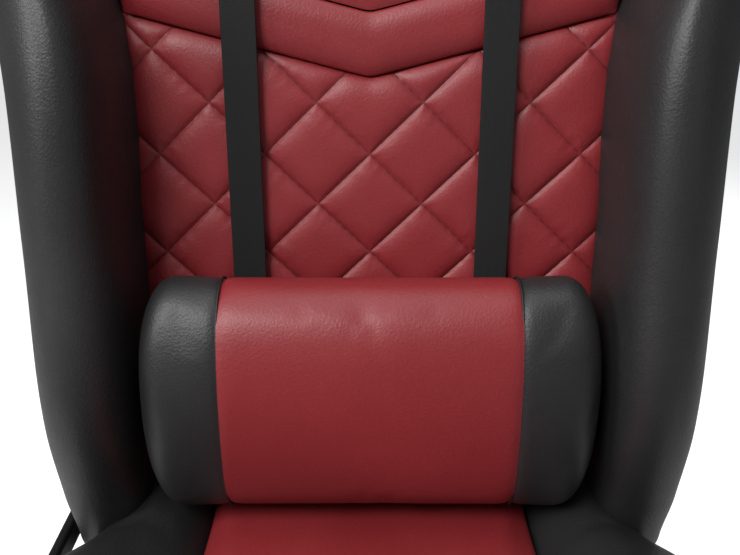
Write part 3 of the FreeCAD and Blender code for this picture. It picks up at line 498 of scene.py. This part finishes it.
def diamonds(x, u):
    # height of the quilting: full in each diamond's middle, pinched along the sewn lines
    first = x / quilt["half"] + (u - quilt["node"]) / quilt["pitch"]
    second = x / quilt["half"] - (u - quilt["node"]) / quilt["pitch"]
    one = np.abs(first - 2 * np.round(first / 2))
    two = np.abs(second - 2 * np.round(second / 2))
    puff = (1 - (1 - one) ** 4.5) * (1 - (1 - two) ** 4.5)
    nearest = np.minimum(one, two)
    # the thread draws small creases into the leather, square to each line
    along = np.where(one < two, second, first)
    waves = np.sin(11.3 * along + 2.1 * np.sin(3.7 * along))
    crease = waves * np.exp(-nearest / 0.22) * smooth(0, 0.07, nearest)
    groove = np.exp(-(nearest / 0.045) ** 2) * quilt["groove"]
    return puff * quilt["puff"] - groove + quilt["crease"] * crease


def seamLine(x, step=0.0):
    return quilt["seamAtMiddle"] + quilt["seamSlope"] * np.sqrt(x * x + 0.00001) + step


def makeQuilt():
    def shape(s, t):
        x = (2 * s - 1) * quilt["halfWidth"]
        top = seamLine(x)
        u = quilt["low"] + t * (top - quilt["low"])
        side = np.abs(quilt["halfWidth"] - np.abs(x))
        rolled = np.exp(-side / quilt["edgeRoll"]) + np.exp(-(top - u) / quilt["edgeRoll"])
        y = 0.0015 - diamonds(x, u) * (1 - 0.7 * np.clip(rolled, 0, 1)) + 0.006 * np.clip(rolled, 0, 1.2)
        return x, y, u
    piece = gridSheet("quiltedPanel", quilt["columns"], quilt["rows"], shape)
    mapFlat(piece)
    closeBehind(piece, quilt["thickness"])
    settle(piece, backMatrix, 60)
    finish(piece, quiltedLeather, "backrest", ["back_center_pad"])


# ---- chevron band and upper back

upper = {"bandHeight": 0.047, "bandPuff": 0.0055, "bandThickness": 0.030, "top": 0.828, "columns": 150,
         "rows": 210,
         "levels": (0.40, 0.47, 0.56, 0.64, 0.73, 0.79, 0.83),
         "halfWidths": (0.182, 0.203, 0.189, 0.165, 0.151, 0.147, 0.132),
         "borders": (0.002, 0.006, 0.018, 0.034, 0.040, 0.040, 0.040), "thickness": 0.044,
         "slotX": 0.092, "slotU": 0.630, "slotHalfX": 0.031, "slotHalfU": 0.021}


def upperHalf(u):
    return monotone(upper["levels"], upper["halfWidths"], np.clip(u, upper["levels"][0], upper["levels"][-1]))


def upperBorder(u):
    # width of the black edge beside the red
    return monotone(upper["levels"], upper["borders"], np.clip(u, upper["levels"][0], upper["levels"][-1]))


def makeChevronBand():
    def shape(s, t):
        x = (2 * s - 1)
        u0 = quilt["seamAtMiddle"] + quilt["seamSlope"] * np.abs(x) * 0.185 + t * upper["bandHeight"]
        half = np.where(u0 > 0.4, upperHalf(u0), 0.1825)
        x = x * half
        u = seamLine(x) + 0.0006 + t * (upper["bandHeight"] - 0.0012)
        rise = 1 - np.abs(2 * t - 1) ** 3.0
        side = half - np.abs(x)
        rolled = np.exp(-side / 0.006)
        y = 0.0035 - upper["bandPuff"] * rise * (1 - 0.8 * rolled) + 0.004 * rolled
        return x, y, u
    piece = gridSheet("chevronBand", 160, 26, shape)
    closeBehind(piece, upper["bandThickness"])
    settle(piece, backMatrix, 60)
    finish(piece, redLeather, "backrest")


def makeUpperPad():
    split = 0.74
    base = upper["bandHeight"]

    def shape(s, t):
        a = 2 * s - 1
        inner = np.abs(a) < split
        low = quilt["seamAtMiddle"] + quilt["seamSlope"] * np.abs(a) * 0.195 + base
        u = low + t * (upper["top"] - low)
        half = upperHalf(u)
        border = upperBorder(u)
        x = np.where(inner, a / split * (half - border),
                     np.sign(a) * (half - border + (np.abs(a) - split) / (1 - split) * border))
        low = seamLine(x, base) + 0.0006
        u = low + t * (upper["top"] - low)
        side = half - np.abs(x)
        seam = np.abs(np.abs(a) - split) * 0.15
        rolled = np.exp(-side / 0.010) + np.exp(-(upper["top"] - u) / 0.014)
        groove = np.exp(-seam / 0.004) * smooth(0.46, 0.52, u) + 0.8 * np.exp(-(u - low) / 0.005)
        crown = 0.006 * (1 - (x / half) ** 2) * smooth(0.40, 0.5, u) + 0.010 * smooth(0.66, 0.76, u)
        nearSlot = np.hypot((np.abs(x) - upper["slotX"]) / 1.5, u - upper["slotU"])
        dip = 0.009 * np.exp(-(nearSlot / 0.035) ** 2)
        y = 0.001 - crown + dip + 0.010 * np.clip(rolled, 0, 1.3) ** 1.5 + 0.0028 * np.clip(groove, 0, 1)
        return x, y, u
    piece = gridSheet("upperPad", upper["columns"], upper["rows"], shape)
    cutSlots(piece)
    piece.data.materials.append(redLeather)
    piece.data.materials.append(blackLeather)
    for face in piece.data.polygons:
        x, _, u = face.center
        half = float(upperHalf(np.array([u]))[0])
        border = float(upperBorder(np.array([u]))[0])
        face.material_index = 1 if abs(x) > half - border else 0
    closeBehind(piece, upper["thickness"], dense=True)
    settle(piece, backMatrix, 60)
    finish(piece, redLeather, "backrest", ["back_head_pad"])


def cutSlots(piece):
    makeActive(piece)
    bpy.ops.object.mode_set(mode="EDIT")
    bpy.ops.mesh.select_mode(type="FACE")
    bpy.ops.mesh.select_all(action="DESELECT")
    bpy.ops.object.mode_set(mode="OBJECT")
    for face in piece.data.polygons:
        x, _, u = face.center
        face.select = (abs(abs(x) - upper["slotX"]) < upper["slotHalfX"]
                       and abs(u - upper["slotU"]) < upper["slotHalfU"])
    bpy.ops.object.mode_set(mode="EDIT")
    bpy.ops.mesh.delete(type="FACE")
    bpy.ops.mesh.select_mode(type="VERT")
    bpy.ops.object.mode_set(mode="OBJECT")


# ---- side bolsters of the back

wing = {"around": 64, "rows": 120, "cap": 0.022}


def makeBackBolsters():
    # control outlines (x, y) in metres from the bottom of the bolster to the top of its shoulder
    levels = (-0.040, 0.030, 0.090, 0.24, 0.39, 0.47, 0.556)
    sections = (
        ((0.183, 0.004), (0.183, -0.012), (0.192, -0.050), (0.234, -0.052), (0.253, -0.02), (0.246, 0.006)),
        ((0.181, 0.050), (0.181, -0.015), (0.188, -0.070), (0.240, -0.074), (0.262, -0.014), (0.256, 0.052)),
        ((0.180, 0.054), (0.179, -0.014), (0.184, -0.092), (0.236, -0.096), (0.264, -0.030), (0.258, 0.054)),
        ((0.180, 0.054), (0.179, -0.014), (0.184, -0.094), (0.230, -0.098), (0.264, -0.034), (0.258, 0.054)),
        ((0.181, 0.054), (0.180, -0.014), (0.186, -0.090), (0.220, -0.094), (0.266, -0.036), (0.262, 0.054)),
        ((0.202, 0.054), (0.200, -0.010), (0.208, -0.066), (0.232, -0.072), (0.278, -0.028), (0.272, 0.054)),
        ((0.189, 0.050), (0.187, -0.002), (0.194, -0.020), (0.208, -0.022), (0.234, -0.004), (0.233, 0.050)))
    for name, side in (("right", 1), ("left", -1)):
        piece = loftedPad("backBolster_" + name, levels, sections, wing["around"], wing["rows"], wing["cap"],
                          lambda x, y, u: (side * x, y, u))
        settle(piece, backMatrix)
        finish(piece, blackLeather, "backrest", ["back_bolster_" + name])


# ---- seat

seatTop = backOrigin.z
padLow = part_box("seat_center_pad")[0].z
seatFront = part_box("seat_center_pad")[0].y
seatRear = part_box("seat_center_pad")[1].y


def makeSeatPad():
    z = padLow + 0.002
    levels = (seatFront, seatFront + 0.05, -0.10, 0.08, seatRear + 0.006)
    tops = (seatTop + 0.004, seatTop + 0.030, seatTop + 0.021, seatTop + 0.010, seatTop + 0.006)
    halves = (0.141, 0.142, 0.139, 0.135, 0.134)
    sections = []
    for top, half in zip(tops, halves):
        sections.append(((-half, z), (-half, top - 0.012), (-half, top), (-0.08, top + 0.001),
                         (0, top + 0.002), (0.08, top + 0.001), (half, top), (half, top - 0.012),
                         (half, z), (0, z)))
    piece = loftedPad("seatPad", levels, sections, 120, 110, 0.014, lambda x, z, y: (x, y, z))
    plump(piece, 3, 0.003, 0.005)
    settle(piece)
    finish(piece, redLeather, "seat", ["seat_center_pad"])


def makeSeatBolsters():
    z = padLow + 0.002
    levels = (seatFront, seatFront + 0.06, -0.10, 0.04, 0.11, 0.15, seatRear + 0.008)
    tops = (seatTop + 0.022, seatTop + 0.060, seatTop + 0.052, seatTop + 0.036, seatTop + 0.026,
            seatTop + 0.022, seatTop + 0.022)
    outers = (0.246, 0.262, 0.262, 0.262, 0.256, 0.230, 0.214)
    inners = (0.136, 0.137, 0.135, 0.132, 0.130, 0.128, 0.127)
    sections = []
    for top, outer, inner in zip(tops, outers, inners):
        middle = (inner + outer) / 2
        sections.append(((inner, z), (inner, top - 0.045), (inner + 0.016, top - 0.006), (middle, top + 0.004),
                         (outer - 0.012, top - 0.004), (outer, top - 0.05), (outer, z), (middle, z)))
    for name, side in (("right", 1), ("left", -1)):
        piece = loftedPad("seatBolster_" + name, levels, sections, 84, 110, 0.010,
                          lambda x, z, y: (side * x, y, z))
        plump(piece, 3, 0.003, 0.005)
        settle(piece)
        finish(piece, blackLeather, "seat", ["seat_bolster_" + name])


# ---- lumbar pillow

pillow = {"half": 0.1755, "redHalf": 0.1104, "middle": -0.0475, "level": 0.1175, "deep": 0.0435,
          "tall": 0.0970, "back": -0.0042, "piping": 0.0010, "sunk": 0.022}


def pillowSection():
    # a fat roll, flattened where it lies against the back
    points = []
    for index in range(20):
        angle = 2 * math.pi * index / 20
        y = pillow["middle"] + pillow["deep"] * squared(math.cos(angle), 0.84)
        u = pillow["level"] + pillow["tall"] * squared(math.sin(angle), 0.92)
        points.append((min(y, pillow["back"]), u))
    return points


def squared(value, power):
    return math.copysign(abs(value) ** power, value)


def makePillow():
    section = pillowSection()
    levels = (-pillow["half"], 0, pillow["half"])
    piece = loftedPad("lumbarPillow", levels, (section, section, section), 120, 150, 0.030,
                      lambda y, u, x: (x, y, u))
    plump(piece, 3, 0.0025, 0.004)
    splitEnds(piece)
    settle(piece, backMatrix)
    finish(piece, redLeather, "lumbar_pillow", ["lumbar_pillow"])
    for name, side in (("right", 1), ("left", -1)):
        ring = sectionLoop(section, 120, side * pillow["redHalf"], pillow["sunk"])
        piping = pipingAlong("pillowPiping_" + name, ring, pillow["piping"], closed=True)
        settle(piping, backMatrix)
        finish(piping, seamThread, "lumbar_pillow")


def sectionLoop(section, count, x, sunk):
    # the section's outline at x, drawn in by a share of its size
    points = splineWeights(len(section), count) @ np.array(section)
    middle = points.mean(axis=0)
    return [(x, y, u) for y, u in middle + (points - middle) * (1 - sunk)]


def splitEnds(piece):
    # sews the red middle to the black ends: the cloth is cut and pinched at each seam
    makeActive(piece)
    bpy.ops.object.mode_set(mode="EDIT")
    for side in (-1, 1):
        for step in (-0.006, -0.004, -0.0025, -0.0012, 0, 0.0012, 0.0025, 0.004, 0.006):
            bpy.ops.mesh.select_all(action="SELECT")
            bpy.ops.mesh.bisect(plane_co=(side * pillow["redHalf"] + step, 0, 0), plane_no=(1, 0, 0))
    bpy.ops.object.mode_set(mode="OBJECT")
    piece.data.materials.append(redLeather)
    piece.data.materials.append(blackLeather)
    for face in piece.data.polygons:
        face.material_index = 1 if abs(face.center.x) > pillow["redHalf"] else 0
    points = coordinates(piece)
    middle = np.array([0, -0.05, 0.115])
    pinch = np.exp(-(np.abs(np.abs(points[:, 0]) - pillow["redHalf"]) / 0.004) ** 1.2) * 0.0022
    away = points - middle
    away[:, 0] = 0
    away /= np.maximum(np.linalg.norm(away, axis=1, keepdims=True), 1e-6)
    moveVertices(piece, points - away * pinch[:, None])


# ---- webbing straps

strap = {"x": 0.095, "width": 0.025, "thickness": 0.0016, "front": -0.0078, "rear": 0.0828, "low": -0.0232,
         "slot": 0.6158, "inSlot": -0.0105}


def strapPath():
    # a closed loop (y, u): down the front, under the back, up the rear and through the slot
    front, back, low, high = strap["front"], strap["rear"], strap["low"], strap["slot"]
    corners = ((front, low), (back, low), (back, high), (strap["inSlot"], high))
    points = []
    for index, corner in enumerate(corners):
        following = corners[(index + 1) % 4]
        steps = 6 if index in (0, 2) else 60
        for step in range(steps):
            f = (step + 0.5) / steps
            points.append(tuple(here + (there - here) * f for here, there in zip(corner, following)))
    return np.array(points)


def makeStraps():
    path = strapPath()
    count = len(path)
    ahead = np.roll(path, -1, axis=0) - np.roll(path, 1, axis=0)
    ahead /= np.linalg.norm(ahead, axis=1, keepdims=True)
    outward = np.stack([ahead[:, 1], -ahead[:, 0]], axis=1)
    lengths = np.concatenate([[0], np.cumsum(np.linalg.norm(np.diff(path, axis=0), axis=1))])
    profile = ((-0.5, -0.5), (-0.25, -0.56), (0, -0.58), (0.25, -0.56), (0.5, -0.5), (0.515, 0), (0.5, 0.5),
               (0.25, 0.56), (0, 0.58), (-0.25, 0.56), (-0.5, 0.5), (-0.515, 0))
    sides = len(profile)
    for name, side in (("right", 1), ("left", -1)):
        def shape(s, t):
            row = np.rint(t * count).astype(int) % count
            column = np.rint(s * sides).astype(int) % sides
            across = np.array(profile)[column]
            spot = path[row] + outward[row] * (across[:, 1] * strap["thickness"])[:, None]
            return side * strap["x"] + across[:, 0] * strap["width"], spot[:, 0], spot[:, 1]
        piece = gridSheet("strap_" + name, sides, count, shape)
        layer = piece.data.uv_layers[0].data
        for loop in layer:
            s, t = loop.uv
            column = round(s * sides) % sides
            loop.uv = (profile[column][0] * strap["width"], lengths[min(round(t * count), count - 1)])
        makeActive(piece)
        bpy.ops.object.mode_set(mode="EDIT")
        bpy.ops.mesh.select_all(action="SELECT")
        bpy.ops.mesh.remove_doubles(threshold=0.00001)
        bpy.ops.object.mode_set(mode="OBJECT")
        recalculateNormals(piece)
        settle(piece, backMatrix, 50)
        finish(piece, blackWebbing, "backrest", ["lumbar_straps"])


# ---- rear cover

rear = {"seamShare": 0.62, "seamRise": 0.03, "seamWidth": 0.003, "seamDepth": 0.0018, "crown": 0.006,
        "face": 0.0765, "thickness": 0.0255}


def makeRearCover():
    levels = (-0.012, 0.09, 0.24, 0.39, 0.47, 0.53, 0.64, 0.73, 0.79, 0.83)
    halves = (0.233, 0.237, 0.249, 0.260, 0.275, 0.250, 0.166, 0.151, 0.147, 0.122)

    def shape(s, t):
        u = levels[0] + t * (levels[-1] - levels[0])
        half = monotone(levels, halves, u)
        a = 2 * s - 1
        x = a * half
        side = half - np.abs(x)
        ends = np.minimum(u - levels[0], levels[-1] - u)
        rolled = np.clip(np.exp(-side / 0.008) + np.exp(-ends / 0.008), 0, 1.2)
        sideSeam = np.abs(x) - rear["seamShare"] * half
        crossSeam = u - seamLine(x, rear["seamRise"])
        seam = np.exp(-(sideSeam / rear["seamWidth"]) ** 2) + np.exp(-(crossSeam / rear["seamWidth"]) ** 2)
        crown = rear["crown"] * (1 - a ** 2)
        sunk = 0.012 * rolled + rear["seamDepth"] * np.clip(seam, 0, 1)
        return -x, rear["face"] + crown - sunk, u
    piece = gridSheet("rearCover", 130, 200, shape)
    cutSlots(piece)
    closeBehind(piece, -rear["thickness"], dense=True)
    settle(piece, backMatrix, 60)
    finish(piece, blackLeather, "backrest", ["back_shell"])


# ---- stage, lights and camera

def makeStage():
    deselectAll()
    bpy.ops.mesh.primitive_plane_add(size=60)
    floor = bpy.context.object
    floor.name = "floor"
    material, tree, shader = newMaterial("paleFloor")
    texture = groupNode(tree, mottleGroup, Scale=60, Slow_Scale=1.5)
    colour = ramp(tree, texture.outputs["Shade"], (226, 226, 226), (234, 234, 234))
    tree.links.new(colour, shader.inputs["Base Color"])
    shader.inputs["Roughness"].default_value = 0.7
    seen = node(tree, "ShaderNodeLightPath").outputs["Is Camera Ray"]
    shader.inputs["Emission Color"].default_value = (1, 1, 1, 1)
    tree.links.new(maths(tree, "MULTIPLY", seen, 0.62), shader.inputs["Emission Strength"])
    floor.data.materials.append(material)
    world = bpy.data.worlds.new("studio")
    world.use_nodes = True
    bpy.context.scene.world = world
    tree = world.node_tree
    back = tree.nodes["Background"]
    back.inputs["Color"].default_value = (0.9, 0.92, 0.95, 1)
    seen = node(tree, "ShaderNodeLightPath").outputs["Is Camera Ray"]
    strength = maths(tree, "MULTIPLY_ADD", seen, 0.86, 0.14)
    tree.links.new(strength, back.inputs["Strength"])


def makeLight(name, place, target, size, power):
    deselectAll()
    bpy.ops.object.light_add(type="AREA", location=place)
    lamp = bpy.context.object
    lamp.name = name
    lamp.data.size = size
    lamp.data.energy = power
    lamp.rotation_euler = (Vector(target) - Vector(place)).to_track_quat("-Z", "Y").to_euler()


def makeCamera():
    # a close view down into the seat's rear corner
    view = {"pierce": 0.197, "back": 0.5885, "rise": 0.2632, "pitch": 24.1, "lens": 38.9}
    point = backMatrix @ Vector((0, 0, view["pierce"]))
    bpy.ops.object.camera_add(location=(0, point.y - view["back"], point.z + view["rise"]),
                              rotation=(math.radians(90 - view["pitch"]), 0, 0))
    camera = bpy.context.object
    camera.data.lens = view["lens"]
    camera.data.sensor_width = 36
    bpy.context.scene.camera = camera


dressFrameNodes()
makeQuilt()
makeChevronBand()
makeUpperPad()
print("back panels made")
makeBackBolsters()
makeSeatPad()
makeSeatBolsters()
print("cushions made")
makePillow()
makeStraps()
makeRearCover()
print("pillow, straps and rear cover made")
makeStage()
makeLight("keyLight", (-0.85, -1.15, 2.2), (0, 0.15, 0.6), 0.8, 38)
makeLight("sideLight", (-1.9, -0.7, 1.6), (0.1, 0.2, 0.7), 0.7, 22)
makeLight("fillLight", (1.8, -1.6, 1.4), (0, 0.1, 0.6), 1.6, 3)
makeLight("topLight", (0.1, 0.0, 2.6), (0, 0.1, 0.5), 1.2, 12)
makeLight("rearLight", (0.9, 2.2, 1.9), (0, 0.2, 0.7), 1.4, 26)
makeCamera()
bpy.context.scene.view_settings.view_transform = "Standard"
